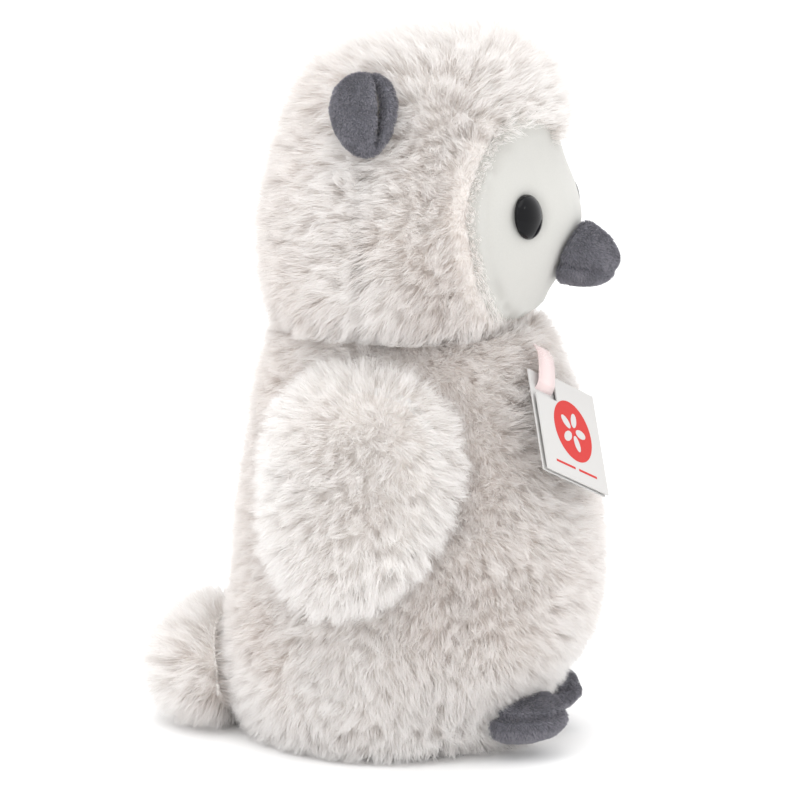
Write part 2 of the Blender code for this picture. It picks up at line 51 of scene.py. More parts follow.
AXIS_Y = -0.0099
BODY_CENTRE = np.array((0, AXIS_Y + 0.002, 0.062))
HEAD_CENTRE = np.array((0, AXIS_Y, 0.168))
UNDER_PILE = 0.0052  # how far the body's skin lies under the pile's outside
UNDER_HEAD_PILE = 0.0052
FACE_EDGE = ((0, 28), (33, 46), (80, 55), (145, 47), (180, 37))  # turn and spread, in degrees
CROWN_HALF, HEAD_BACK_FROM, BELLY_HALF = 47, 97, 62  # where the panels meet, in degrees
PER_MM2 = 5.2  # strands of the long pile on each square millimetre
TONES = 16  # columns of the strands' colour map, from clean to warm
UP = np.array((0.0, 0.0, 1.0))

BODY_FLAT, BASE_EDGE = 0.0012, 0.0016  # heights of the standing base and of its seam
NECK_TOP, CHIN = 0.1420, 0.1325  # the body's pile stays under one, the head's above the other
FLOOR_GAP = 0.0004

EYE_RADIUS, EYE_RIM, EYE_DOME, EYE_TALL = 0.0070, 0.0008, 0.0038, 0.0046
SHANK_RADIUS, SHANK_LENGTH = 0.0018, 0.009
EYE_FORWARD = 0.30  # how much further forward the eyes look than the CAD eyes

EAR_OUT, EAR_BACK, EAR_UP = 0.0430, 0.0045, 0.2035
EAR_CLEAR = (0.0075, 0.0085, 0.0115)  # half sizes of the bare patch round an ear

WING_MIDDLE = np.array((0, AXIS_Y + 0.0045, 0.0945))
WING_HALF_WIDTH, WING_UP, WING_DOWN, WING_TIP_BACK = 0.0340, 0.0340, 0.0485, 0.0075
WING_ROUNDS, WING_ROWS = 120, 26

TAIL_CENTRE = np.array((0, AXIS_Y + 0.0620, 0.0195))
UNDER_TAIL_PILE, TAIL_PILE = 0.0034, 0.0118

TAG_TURN, TAG_LEAN, TAG_ROLL = 12, 25, 26
TAG_SIDE, TAG_THICK, TAG_GAP = 0.0343, 0.0005, 0.0009
TAG_SLOT_IN, TAG_SLOT_DOWN = 0.0066, 0.0062
PRINT_X, PRINT_Y, PRINT_RADIUS, PRINT_THICK = 0.0185, 0.0168, 0.0103, 0.00004
PETALS, PETAL_OUT, PETAL_LONG, PETAL_WIDE = 5, 0.0042, 0.0027, 0.0015
RIBBON_HALF, RIBBON_THIN, RIBBON_ROWS = 0.0043, 0.0002, 24

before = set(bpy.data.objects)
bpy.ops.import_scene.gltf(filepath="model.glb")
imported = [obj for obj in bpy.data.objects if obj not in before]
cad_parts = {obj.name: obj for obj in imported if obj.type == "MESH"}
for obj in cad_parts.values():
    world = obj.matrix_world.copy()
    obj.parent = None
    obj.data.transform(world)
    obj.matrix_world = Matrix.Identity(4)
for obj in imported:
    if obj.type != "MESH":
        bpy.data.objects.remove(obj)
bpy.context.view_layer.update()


# ---------------------------------------------------------------- numbers


def unit(vectors):
    return vectors / np.maximum(np.linalg.norm(vectors, axis=-1, keepdims=True), 1e-9)


def ease(share):
    share = np.clip(share, 0, 1)
    return share * share * (3 - 2 * share)


def bump(distance, width):
    return np.exp(-((distance / width) ** 2))


def flat_to(normals, vectors):
    """The vectors' parts along the surface."""
    return vectors - normals * np.sum(vectors * normals, axis=1, keepdims=True)


def ripples(points, scale, seed=0.0):
    """Smooth noise from about -1 to 1 at each point, for lumps of the given size."""
    shift = Vector((seed * 7.1, seed * 3.7, seed * 5.3))
    return np.array([noise.noise(Vector(p) / scale + shift) for p in points])


# ---------------------------------------------------------------- surfaces


class Surface:
    """A triangle mesh in numpy: points, faces and vertex normals."""

    def __init__(self, points, faces):
        self.points, self.faces = points, faces
        self.refresh()

    def refresh(self):
        a, b, c = (self.points[self.faces[:, k]] for k in range(3))
        crossed = np.cross(b - a, c - a)
        total = np.zeros_like(self.points)
        for k in range(3):
            for axis in range(3):
                total[:, axis] += np.bincount(self.faces[:, k], crossed[:, axis], len(self.points))
        self.normals = unit(total)

    def moved(self, outward):
        """The same surface, moved along its normals."""
        return Surface(self.points + self.normals * np.reshape(outward, (-1, 1)), self.faces)


def relaxed(values, faces, rounds):
    """Values at the points of a mesh, evened out between neighbours."""
    pairs = np.sort(np.vstack([faces[:, (0, 1)], faces[:, (1, 2)], faces[:, (2, 0)]]), axis=1)
    pairs = np.unique(pairs, axis=0)
    size = len(values)
    count = np.bincount(pairs.ravel(), minlength=size)
    values = np.array(values, float).reshape(size, -1)
    for _ in range(rounds):
        total = np.zeros_like(values)
        for k in range(values.shape[1]):
            total[:, k] = np.bincount(pairs[:, 0], values[pairs[:, 1], k], size)
            total[:, k] += np.bincount(pairs[:, 1], values[pairs[:, 0], k], size)
        values = values + 0.6 * (total / np.maximum(count, 1)[:, None] - values)
    return values.squeeze()


def node_mesh(names):
    """The CAD nodes' points and faces, in one list each."""
    points, faces = [], []
    for name in names:
        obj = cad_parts[name]
        start = len(points)
        points += [obj.matrix_world @ v.co for v in obj.data.vertices]
        faces += [[start + i for i in p.vertices] for p in obj.data.polygons]
    return points, faces


def ball(detail):
    bm = bmesh.new()
    bmesh.ops.create_icosphere(bm, subdivisions=detail, radius=1)
    ways = np.array([v.co[:] for v in bm.verts])
    faces = np.array([[v.index for v in f.verts] for f in bm.faces])
    bm.free()
    return unit(ways), faces


def hull(names, centre, detail, rounds):
    """A ball of points drawn onto the outside of the CAD nodes, seen from the centre, and evened out."""
    tree = BVHTree.FromPolygons(*node_mesh(names))
    ways, ball_faces = ball(detail)
    reach = np.zeros(len(ways))
    middle = Vector(centre)
    for i, way in enumerate(ways):
        way = Vector(way)
        hit = tree.ray_cast(middle + way * 0.25, -way)[0]
        reach[i] = (hit - middle).length if hit else 0
    reach = relaxed(reach, ball_faces, rounds)
    return Surface(centre + ways * reach[:, None], ball_faces)


def part_of(surface, kept):
    """Part of the surface. kept is a mask of its points, or a function of its faces' middles."""
    if callable(kept):
        chosen = kept(surface.points[surface.faces].mean(axis=1))
    else:
        chosen = kept[surface.faces].all(axis=1)
    used, index = np.unique(surface.faces[chosen], return_inverse=True)
    part = Surface(surface.points[used], index.reshape(-1, 3))
    part.normals = surface.normals[used]
    return part


def remeshed(names, voxel, rounds):
    """The CAD nodes grown together into one closed skin, and evened out."""
    points, faces = node_mesh(names)
    mesh = bpy.data.meshes.new("joined")
    mesh.from_pydata(points, [], faces)
    obj = bpy.data.objects.new("joined", mesh)
    bpy.context.scene.collection.objects.link(obj)
    modifier = obj.modifiers.new("remesh", "REMESH")
    modifier.mode = "VOXEL"
    modifier.voxel_size = voxel
    bpy.context.view_layer.update()
    depsgraph = bpy.context.evaluated_depsgraph_get()
    grown = bpy.data.meshes.new_from_object(obj.evaluated_get(depsgraph))
    bpy.data.objects.remove(obj)
    grown.calc_loop_triangles()
    points = np.array([v.co[:] for v in grown.vertices])
    faces = np.array([t.vertices[:] for t in grown.loop_triangles])
    return Surface(relaxed(points, faces, rounds), faces)


def add_mesh(name, points, faces, looks, body, uv=None, smooth=True):
    """A mesh object that rides on a body. faces are triangles or quads, uv has a pair for each corner."""
    mesh = bpy.data.meshes.new(name)
    points = np.asarray(points, np.float32)
    faces = np.asarray(faces, np.int32)
    corners = faces.shape[1]
    mesh.vertices.add(len(points))
    mesh.vertices.foreach_set("co", points.ravel())
    mesh.loops.add(faces.size)
    mesh.loops.foreach_set("vertex_index", faces.ravel())
    mesh.polygons.add(len(faces))
    mesh.polygons.foreach_set("loop_start", np.arange(0, faces.size, corners, dtype=np.int32))
    mesh.update(calc_edges=True)
    mesh.validate()
    if uv is not None:
        layer = mesh.uv_layers.new(name="OFBake")
        layer.data.foreach_set("uv", np.asarray(uv, np.float32).ravel())
    if smooth:
        mesh.shade_smooth()
    mesh.materials.append(looks)
    obj = bpy.data.objects.new(name, mesh)
    bpy.context.scene.collection.objects.link(obj)
    if body:
        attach(obj, body)
    return obj


def add_surface(name, surface, looks, body):
    return add_mesh(name, surface.points, surface.faces, looks, body)


# ---------------------------------------------------------------- pile


def scattered(surface, per_mm2, share, rng):
    """Roots spread over the surface, with their normals: per_mm2 of them where share is 1."""
    corners = surface.points[surface.faces]
    crossed = np.cross(corners[:, 1] - corners[:, 0], corners[:, 2] - corners[:, 0])
    area = np.linalg.norm(crossed, axis=1) / 2
    middle_normals = unit(surface.normals[surface.faces].sum(axis=1))
    weight = area * np.clip(share(corners.mean(axis=1), middle_normals), 0, None)
    count = int(weight.sum() * 1e6 * per_mm2)
    pick = rng.choice(len(weight), size=count, p=weight / weight.sum())
    a, b = rng.random(count), rng.random(count)
    over = a + b > 1
    a[over], b[over] = 1 - a[over], 1 - b[over]
    shares = np.stack([1 - a - b, a, b], axis=1)[:, :, None]
    roots = (corners[pick] * shares).sum(axis=1)
    normals = unit((surface.normals[surface.faces[pick]] * shares).sum(axis=1))
    return roots, normals


def nearest_of(points, seeds):
    tree = KDTree(len(seeds))
    for i, seed in enumerate(seeds):
        tree.insert(seed, i)
    tree.balance()
    return np.array([tree.find(p)[1] for p in points])


class Pile:
    """How a pile stands: what each strand's length, lean and tone are, as functions of its root."""

    def __init__(self, per_mm2, length, comb, tone, **also):
        self.per_mm2, self.length, self.comb, self.tone = per_mm2, length, comb, tone
        self.width = also.get("width", 0.00014)
        self.clump = also.get("clump", 0.0030)
        self.pull = also.get("pull", 0.26)
        self.stray = also.get("stray", 0.13)
        self.clump_stray = also.get("clump_stray", 0.17)
        self.uneven = also.get("uneven", 0.08)
        self.rows = also.get("rows", (0, 0.5, 1))
        self.arch = also.get("arch", 0.35)
        self.share = also.get("share", lambda p, n: np.ones(len(p)))
        self.fit = also.get("fit", lambda p: p)
        self.keep = also.get("keep", lambda p: np.ones(len(p), bool))


def grow(name, surface, pile, looks, body, seed):
    """A mesh of strands on the surface. Each is a tapered strip of triangles that faces roughly outwards."""
    rng = np.random.default_rng(seed)
    roots, normals = scattered(surface, pile.per_mm2, pile.share, rng)
    kept = pile.keep(roots)
    roots, normals = roots[kept], normals[kept]
    count = len(roots)
    area = count / pile.per_mm2 * 1e-6
    clumps = rng.choice(count, size=max(int(area / pile.clump**2), 1), replace=False)
    mine = nearest_of(roots, roots[clumps])
    length = pile.length(roots, normals) * (1 + pile.uneven * rng.standard_normal(count).clip(-2, 2))
    comb = pile.comb(roots, normals)
    tilt = flat_to(normals[clumps], rng.standard_normal((len(clumps), 3))) * pile.clump_stray
    way = unit(normals + comb + tilt[mine] + rng.standard_normal((count, 3)) * pile.stray)
    lead = unit(normals + comb)[clumps] + tilt
    target = roots[clumps] + unit(lead) * length[clumps][:, None]
    tip = roots + way * length[:, None]
    gather = (target[mine] - tip) * (pile.pull * rng.uniform(0.5, 1.3, count))[:, None]
    gather *= np.minimum(1, 0.5 * length / np.maximum(np.linalg.norm(gather, axis=1), 1e-6))[:, None]
    bow = flat_to(way, rng.standard_normal((count, 3))) * 0.07
    facing = unit(normals + rng.standard_normal((count, 3)) * 0.45)
    across = unit(np.cross(way, facing))
    thick = pile.width * rng.uniform(0.7, 1.25, count)

    lines, sides = [], []
    for s in pile.rows:
        bend = way * s + normals * pile.arch * s * (1 - s) + bow * math.sin(math.pi * s)
        place = roots + length[:, None] * bend
        place = pile.fit(place + gather * s**1.6)
        taper = 1.0 if s < 0.5 else 1 - 0.75 * (s - 0.5) / 0.5
        lines.append(place)
        sides.append(across * (thick * taper / 2)[:, None])
    last = len(pile.rows) - 1
    points = []
    tones = np.clip(pile.tone(roots, normals) + rng.standard_normal(count) * 0.16, 0, 0.999)
    column = np.floor(tones * TONES)
    for k in range(last):
        points += [lines[k] - sides[k], lines[k] + sides[k]]
    points.append(lines[last])
    points = np.stack(points, axis=1)
    faces, uv = [], []
    for k in range(last):
        low, high = pile.rows[k], pile.rows[k + 1]
        left, right = 2 * k, 2 * k + 1
        if k < last - 1:
            faces += [(left, right, right + 2), (left, right + 2, left + 2)]
            uv += [((0.1, low), (0.9, low), (0.9, high)), ((0.1, low), (0.9, high), (0.1, high))]
        else:
            faces.append((left, right, right + 1))
            uv.append(((0.1, low), (0.9, low), (0.5, high)))
    stride = points.shape[1]
    faces = np.array(faces)[None] + (np.arange(count) * stride)[:, None, None]
    uv = np.broadcast_to(np.array(uv, float)[None], (count, len(uv), 3, 2)).copy()
    uv[..., 0] = (uv[..., 0] + column[:, None, None]) / TONES
    uv[..., 1] = uv[..., 1] * 0.98 + 0.01
    return add_mesh(name, points.reshape(-1, 3), faces.reshape(-1, 3), looks, body, uv, smooth=False)


# ---------------------------------------------------------------- materials


def new_look(name, colour=(0.8, 0.8, 0.8), roughness=0.6, sheen=0.0):
    made = bpy.data.materials.new(name)
    made.use_nodes = True
    shader = made.node_tree.nodes["Principled BSDF"]
    shader.inputs["Base Color"].default_value = (*colour, 1)
    shader.inputs["Roughness"].default_value = roughness
    shader.inputs["Sheen Weight"].default_value = sheen
    shader.inputs["Sheen Roughness"].default_value = 0.5
    return made, shader, made.node_tree


def ramp(tree, source, stops):
    node = tree.nodes.new("ShaderNodeValToRGB")
    elements = node.color_ramp.elements
    while len(elements) < len(stops):
        elements.new(0.5)
    for element, (place, colour) in zip(elements, stops):
        element.position = place
        element.color = (*colour, 1)
    tree.links.new(source, node.inputs[0])
    return node.outputs[0]


def noise_value(tree, scale, detail=3.0, rough=0.55):
    place = tree.nodes.new("ShaderNodeTexCoord")
    node = tree.nodes.new("ShaderNodeTexNoise")
    node.inputs["Scale"].default_value = scale
    node.inputs["Detail"].default_value = detail
    node.inputs["Roughness"].default_value = rough
    tree.links.new(place.outputs["Object"], node.inputs["Vector"])
    return node.outputs[0]


def bumped(tree, shader, height, strength, distance):
    node = tree.nodes.new("ShaderNodeBump")
    node.inputs["Strength"].default_value = strength
    node.inputs["Distance"].default_value = distance
    tree.links.new(height, node.inputs["Height"])
    tree.links.new(node.outputs[0], shader.inputs["Normal"])


def pile_look(name, clean, warm, sheen=0.1, translucency=0.5):
    """Strands: their colour runs from root to tip, darker at the root as painted shade deep in the pile, and
    from clean to warm with the strand's tone.
    """
    made, shader, tree = new_look(name, roughness=0.75, sheen=sheen)
    shader.inputs["Specular IOR Level"].default_value = 0.25
    place = tree.nodes.new("ShaderNodeUVMap")
    place.uv_map = "OFBake"
    split = tree.nodes.new("ShaderNodeSeparateXYZ")
    tree.links.new(place.outputs[0], split.inputs[0])
    mix = tree.nodes.new("ShaderNodeMix")
    mix.data_type = "RGBA"
    tree.links.new(split.outputs[0], mix.inputs["Factor"])
    sockets = [s for s in mix.inputs if s.type == "RGBA"]
    tree.links.new(ramp(tree, split.outputs[1], clean), sockets[0])
    tree.links.new(ramp(tree, split.outputs[1], warm), sockets[1])
    colour = [s for s in mix.outputs if s.type == "RGBA"][0]
    tree.links.new(colour, shader.inputs["Base Color"])
    through = tree.nodes.new("ShaderNodeBsdfTranslucent")
    tree.links.new(colour, through.inputs["Color"])
    both = tree.nodes.new("ShaderNodeMixShader")
    both.inputs[0].default_value = translucency
    tree.links.new(shader.outputs[0], both.inputs[1])
    tree.links.new(through.outputs[0], both.inputs[2])
    tree.links.new(both.outputs[0], tree.nodes["Material Output"].inputs["Surface"])
    return made


def cloth_look(name, low, high, scale, roughness=0.9, sheen=0.2, bump_depth=0.0003):
    """Cloth or filling: two colours mixed by fine noise, with a bump of the same grain."""
    made, shader, tree = new_look(name, roughness=roughness, sheen=sheen)
    shader.inputs["Specular IOR Level"].default_value = 0.2
    value = noise_value(tree, scale)
    tree.links.new(ramp(tree, value, ((0.3, low), (0.7, high))), shader.inputs["Base Color"])
    bumped(tree, shader, noise_value(tree, scale * 1.7), 0.5, bump_depth)
    return made


def paint_cad(looks):
    for name, look in looks.items():
        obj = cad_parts[name]
        if not obj.material_slots:
            obj.data.materials.append(look)
        for slot in obj.material_slots:
            slot.link = "OBJECT"
            slot.material = look


# ---------------------------------------------------------------- camera, light and floor


def make_stage():
    turn, rise = math.radians(VIEW_TURN), math.radians(VIEW_RISE)
    back = Vector((math.sin(turn) * math.cos(rise), -math.cos(turn) * math.cos(rise), math.sin(rise)))
    data = bpy.data.cameras.new("camera")
    data.sensor_width = 36
    data.lens = 36 * VIEW_DISTANCE / VIEW_WIDTH
    data.clip_end = 50
    camera = bpy.data.objects.new("camera", data)
    camera.location = Vector(VIEW_AIM) + back * VIEW_DISTANCE
    camera.rotation_euler = back.to_track_quat("Z", "Y").to_euler()
    bpy.context.scene.collection.objects.link(camera)
    bpy.context.scene.camera = camera

    world = bpy.data.worlds.new("studio")
    world.use_nodes = True
    world.node_tree.nodes["Background"].inputs[0].default_value = (1, 1, 1, 1)
    world.node_tree.nodes["Background"].inputs[1].default_value = 1.42
    bpy.context.scene.world = world
    bpy.context.scene.view_settings.view_transform = "Standard"
    bpy.context.scene.view_settings.look = "None"

    for name, place, size, power in (
        ("overhead", (-0.3, 0.1, 1.6), 1.4, 6.0),
        ("key", (-1.3, 0.7, 1.1), 0.8, 0.7),
        ("spark", (-0.30, -0.98, 0.95), 0.05, 0.8),
    ):
        data = bpy.data.lights.new(name, "AREA")
        data.shape = "DISK"
        data.size = size
        data.energy = power
        light = bpy.data.objects.new(name, data)
        light.location = place
        light.rotation_euler = (Vector(place) - Vector((0, -0.01, 0.11))).to_track_quat("Z", "Y").to_euler()
        bpy.context.scene.collection.objects.link(light)

    pale, _, _ = new_look("floor_paper", (0.97, 0.97, 0.97), 0.9)
    half, low = 9.0, -0.0003
    corners = [(-half, -half, low), (half, -half, low), (half, half, low), (-half, half, low)]
    floor = add_mesh("floor", corners, [(0, 1, 2, 3)], pale, None)


# ---------------------------------------------------------------- where things are


def head_angles(points):
    """Turn round the face from straight up, and spread from straight ahead, in degrees."""
    way = unit(points - HEAD_CENTRE)
    spread = np.degrees(np.arccos(np.clip(-way[:, 1], -1, 1)))
    turn = np.degrees(np.arctan2(np.abs(way[:, 0]), way[:, 2]))
    return turn, spread


def face_edge(turn):
    keys, values = zip(*FACE_EDGE)
    fine = np.linspace(0, 180, 721)
    steps = np.interp(fine, keys, values)
    kernel = np.hanning(121)
    padded = np.pad(steps, 60, mode="reflect")
    smooth = np.convolve(padded, kernel / kernel.sum(), "valid")
    return np.interp(turn, fine, smooth)


def beyond_face(points):
    """How many millimetres a point lies outside the face's edge."""
    turn, spread = head_angles(points)
    return (spread - face_edge(turn)) * 0.87


def down_along(normals):
    return unit(flat_to(normals, np.broadcast_to(-UP, normals.shape)) + 1e-6)


def from_point(points, normals, place):
    """Directions along the surface, away from a place."""
    return unit(flat_to(normals, points - np.array(place)) + 1e-6)


# ---------------------------------------------------------------- pieces

EARS = [np.array((side * EAR_OUT, AXIS_Y + EAR_BACK, EAR_UP)) for side in (-1, 1)]


def wing_reach(points):
    """0 at the wing's middle and 1 at its outline, seen from the side."""
    y, z = points[:, 1] - WING_MIDDLE[1], points[:, 2] - WING_MIDDLE[2]
    y = y - WING_TIP_BACK * np.clip(-z / WING_DOWN, 0, None) ** 1.5
    tall = np.where(z > 0, WING_UP, WING_DOWN)
    power = np.where(z > 0, 2.5, 2.1)
    return (np.abs(y / WING_HALF_WIDTH) ** power + np.abs(z / tall) ** power) ** (1 / power)


def tag_frame():
    """The hang tag's corner, its axes right, down and front, and the ribbon's start and slot."""
    turn, lean, roll = (math.radians(a) for a in (TAG_TURN, TAG_LEAN, TAG_ROLL))
    level = Vector((math.cos(turn), -math.sin(turn), 0))
    facing = Vector((-math.sin(turn), -math.cos(turn), 0))
    slope = Vector((0, 0, -math.cos(lean))) + facing * math.sin(lean)
    right = level * math.cos(roll) + slope * math.sin(roll)
    down = slope * math.cos(roll) - level * math.sin(roll)
    front = facing * math.cos(lean) + Vector((0, 0, math.sin(lean)))
    anchor = Vector((-0.0105, AXIS_Y - 0.0428, 0.1290))
    slot = Vector((-0.0221, AXIS_Y - 0.0461, 0.1167))
    corner = slot - right * TAG_SLOT_IN - down * TAG_SLOT_DOWN
    return corner, right, down, front, anchor, slot


def behind_tag(points):
    """Points in front of the tag's back leaf go just behind it."""
    corner, right, down, front, _, _ = tag_frame()
    local = (points - np.array(corner)) @ np.array((right, down, front)).T
    margin = 0.001
    inside = (local[:, 0] > -margin) & (local[:, 0] < TAG_SIDE + margin)
    inside &= (local[:, 1] > -margin) & (local[:, 1] < TAG_SIDE + margin) & (local[:, 2] < 0.02)
    lift = np.where(inside, np.maximum(local[:, 2] + 0.0006, 0), 0)
    return points - lift[:, None] * np.array(front)


def above_floor(points):
    points = points.copy()
    uneven = 0.15 * np.abs(np.sin(points[:, 0] * 9000)) * 0.001
    points[:, 2] = np.maximum(points[:, 2], FLOOR_GAP + uneven)
    return points


def fit_body(points):
    points = above_floor(behind_tag(points))
    points[:, 2] = np.minimum(points[:, 2], NECK_TOP)
    return points


def make_body(looks):
    panels = ("belly_panel", "side_panel_right", "side_panel_left")
    whole = hull((*panels, "body_stuffing", "base_panel"), BODY_CENTRE, 7, 12)
    lumps = ripples(whole.points, 0.022, 1) * 0.0009
    skin = whole.moved(-UNDER_PILE + lumps)
    outside = whole.points[:, 2]
    level = np.maximum(ease((0.014 - outside) / 0.010), ease((outside - 0.118) / 0.010))
    skin.points[:, 2] += (outside - skin.points[:, 2]) * level
    skin.points[:, 2] = np.maximum(skin.points[:, 2], BODY_FLAT)
    skin.refresh()
    base = add_surface("base_cloth", part_of(skin, lambda p: p[:, 2] < BASE_EDGE), looks["base"], "toy")
    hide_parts("base_panel")
    obj = add_surface("body_skin", part_of(skin, lambda p: p[:, 2] >= BASE_EDGE), looks["skin"], "toy")
    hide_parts(*panels)

    def under_wing(points):
        inside = ease((1.0 - wing_reach(points)) / 0.22)
        return inside * (np.abs(points[:, 0]) > 0.018) * ease((0.127 - points[:, 2]) / 0.010)

    def length(points, normals):
        base = 0.0084 + 0.0009 * ripples(points, 0.02, 3)
        return base * (1 - 0.62 * under_wing(points))

    def comb(points, normals):
        lean = 0.30 + 0.35 * ripples(points, 0.022, 5)[:, None]
        lean = lean + 1.6 * under_wing(points)[:, None]
        swirl = np.cross(normals, down_along(normals)) * (ripples(points, 0.020, 6) * 0.55)[:, None]
        return down_along(normals) * lean + swirl

    def tone(points, normals):
        side = bump(points[:, 1] - (AXIS_Y - 0.025), 0.022)
        chest = bump(points[:, 1] - (AXIS_Y - 0.045), 0.03)
        low = ease((0.045 - points[:, 2]) / 0.035)
        rear = ease((points[:, 1] - AXIS_Y - 0.015) / 0.03)
        level = 0.20 + 0.20 * side + 0.16 * chest + 0.50 * rear
        return level * (1 - 0.8 * low) + 0.25 * ripples(points, 0.018, 7)

    def share(points, normals):
        floor = ease((points[:, 2] - 0.0018) / 0.001)
        hidden = ease((normals[:, 2] - 0.80) / 0.15) * (points[:, 2] > 0.12)
        return floor * (1 - hidden) * (1 - 0.35 * under_wing(points))

    pile = Pile(PER_MM2, length, comb, tone, share=share, fit=fit_body)
    for seed, name, node in (
        (11, "belly_pile", "belly_panel"),
        (12, "side_pile_right", "side_panel_right"),
        (13, "side_pile_left", "side_panel_left"),
    ):
        part = part_of(skin, lambda p, node=node: nearest_panel(p) == node)
        grown = grow(name, part, pile, looks["pile"], "toy", seed)


def nearest_panel(points):
    """Which body panel a point lies over, by its turn from the front."""
    turn = np.degrees(np.arctan2(points[:, 0], -(points[:, 1] - BODY_CENTRE[1])))
    sides = np.where(turn < 0, "side_panel_right", "side_panel_left")
    return np.where(np.abs(turn) < BELLY_HALF, "belly_panel", sides)


def make_head(looks):
    panels = ("crown_panel", "cheek_panel_right", "cheek_panel_left", "head_back_right", "head_back_left")
    whole = hull((*panels, "face_panel", "head_stuffing"), HEAD_CENTRE, 7, 8)
    beyond = beyond_face(whole.points)
    turn, _ = head_angles(whole.points)
    fringe = ease((52 - turn) / 22)
    cheek_depth = 0.0010 + (UNDER_HEAD_PILE - 0.0010) * ease(beyond / 12)
    fringe_depth = 0.0042 * ease(beyond / 2.5) + (UNDER_HEAD_PILE - 0.0042) * ease(beyond / 12)
    depth = cheek_depth * (1 - fringe) + fringe_depth * fringe
    depth = np.where(beyond < 0, 0.0010 * ease(1 + beyond / 1.5) * (1 - fringe), depth)
    lumps = ripples(whole.points, 0.02, 2) * 0.0008 * ease(beyond / 8)
    outside = whole.points[:, 2]
    whole = whole.moved(-depth + lumps)
    whole.points[:, 2] += (outside - whole.points[:, 2]) * ease((0.150 - outside) / 0.012)
    whole.refresh()
    face = part_of(whole, beyond < 2.5)
    skin = part_of(whole, beyond > -2.5)
    skin.points -= skin.normals * 0.0004

    for word in ("right", "left"):
        middle, out = eye_axis(word)
        away = face.points - middle
        away -= out * (away @ out)[:, None]
        behind = away @ unit(UP * 0.15 + np.array((0, 1, 0)))
        pad = bump(np.linalg.norm(away, axis=1), 0.0095) * ease((behind - 0.0010) / 0.0050)
        face.points += face.normals * (0.0030 * pad)[:, None]
    face.refresh()

    front = add_surface("face_velour", face, looks["velour"], "toy")
    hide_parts("face_panel")
    smooth = front.modifiers.new("finer", "SUBSURF")
    smooth.levels = smooth.render_levels = 1
    back = add_surface("head_skin", skin, looks["skin"], "toy")
    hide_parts(*panels)

    def length(points, normals):
        turn, _ = head_angles(points)
        edge = beyond_face(points)
        fringe = ease((52 - turn) / 25)
        start = 0.0028 + 0.0052 * fringe
        rear = ease((points[:, 1] - AXIS_Y - 0.01) / 0.03)
        top = ease((points[:, 2] - 0.200) / 0.020)
        full = 0.0092 + 0.0004 * fringe + 0.0018 * rear + 0.0022 * top
        full = full + 0.0008 * ripples(points, 0.02, 17)
        return start + (full - start) * ease((edge + 2) / 14)

    def comb(points, normals):
        turn, _ = head_angles(points)
        edge = beyond_face(points)
        fringe = (ease((52 - turn) / 22) * ease((40 - edge) / 25))[:, None]
        outward = from_point(points, normals, HEAD_CENTRE + np.array((0, -0.06, 0.0)))
        back = unit(flat_to(normals, np.broadcast_to((0.0, 1.0, -0.35), normals.shape)) + 1e-6)
        cheek = ease((34 - edge) / 26)[:, None]
        swirl = np.cross(normals, back) * (ripples(points, 0.018, 26) * 0.5)[:, None]
        mixed = back * (0.55 - 0.40 * cheek) + outward * 0.15 * cheek + swirl
        forward = np.broadcast_to(np.array((0, -1.0, 0.25)), normals.shape)
        lift = flat_to(normals, forward) * 0.30
        low = ease((0.152 - points[:, 2]) / 0.014)[:, None]
        return mixed * (1 - fringe) + lift * fringe + down_along(normals) * 0.7 * low

    def tone(points, normals):
        turn, spread = head_angles(points)
        cheek = bump(spread - 66, 26) * ease((turn - 50) / 30)
        rear = ease((points[:, 1] - AXIS_Y - 0.005) / 0.03)
        return 0.22 + 0.24 * cheek + 0.55 * rear + 0.25 * ripples(points, 0.018, 8)

    def share(points, normals):
        start = ease((beyond_face(points) + 2.0) / 3.0)
        return start * ease((points[:, 2] - 0.1356) / 0.0012)

    def fit(points):
        points = points.copy()
        points[:, 2] = np.maximum(points[:, 2], CHIN)
        return points

    def keep(points):
        good = np.ones(len(points), bool)
        for middle in EARS:
            good &= np.linalg.norm((points - middle) / EAR_CLEAR, axis=1) > 1
        return good

    pile = Pile(PER_MM2, length, comb, tone, share=share, fit=fit, keep=keep)
    for seed, node in enumerate(panels):
        name = node.replace("panel", "pile").replace("head_back", "head_back_pile")
        part = part_of(skin, lambda p, node=node: head_panel(p) == node)
        grown = grow(name, part, pile, looks["pile"], "toy", 21 + seed)


def head_panel(points):
    """Which head panel a point lies over."""
    turn, spread = head_angles(points)
    right = points[:, 0] < 0
    back = np.where(right, "head_back_right", "head_back_left")
    cheek = np.where(right, "cheek_panel_right", "cheek_panel_left")
    front = np.where(turn < CROWN_HALF, "crown_panel", cheek)
    return np.where(spread > HEAD_BACK_FROM, back, front)


def eye_axis(word):
    """A point on the eye's axis and the way it looks, from its CAD solids and a little further forward."""
    middles = []
    for name in (f"eye_{word}", f"eye_washer_{word}"):
        points, _ = node_mesh((name,))
        middles.append(np.mean([p[:] for p in points], axis=0))
    return middles[0], unit(unit(middles[0] - middles[1]) + np.array((0, -EYE_FORWARD, 0)))


def make_eyes(looks):
    """Domed eyes with shanks, each a profile turned about its axis."""
    for word in ("right", "left"):
        middle, out = eye_axis(word)
        points, _ = node_mesh((f"eye_{word}",))
        top = max(float(np.dot(np.array(p) - middle, out)) for p in points)
        place = Matrix.Translation(Vector(middle + out * (top - EYE_TALL)))
        place = place @ Vector(out).to_track_quat("Z", "Y").to_matrix().to_4x4()
        profile = [(SHANK_RADIUS, -SHANK_LENGTH), (SHANK_RADIUS, 0), (0.0066, 0), (0.0069, 0.0002)]
        for i in range(25):
            angle = math.radians(90 * i / 24)
            profile.append((EYE_RADIUS * math.cos(angle), EYE_RIM + EYE_DOME * math.sin(angle)))
        obj = lathe(f"eye_dome_{word}", profile, 72, place, looks["eye"], "toy")
        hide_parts(f"eye_{word}")


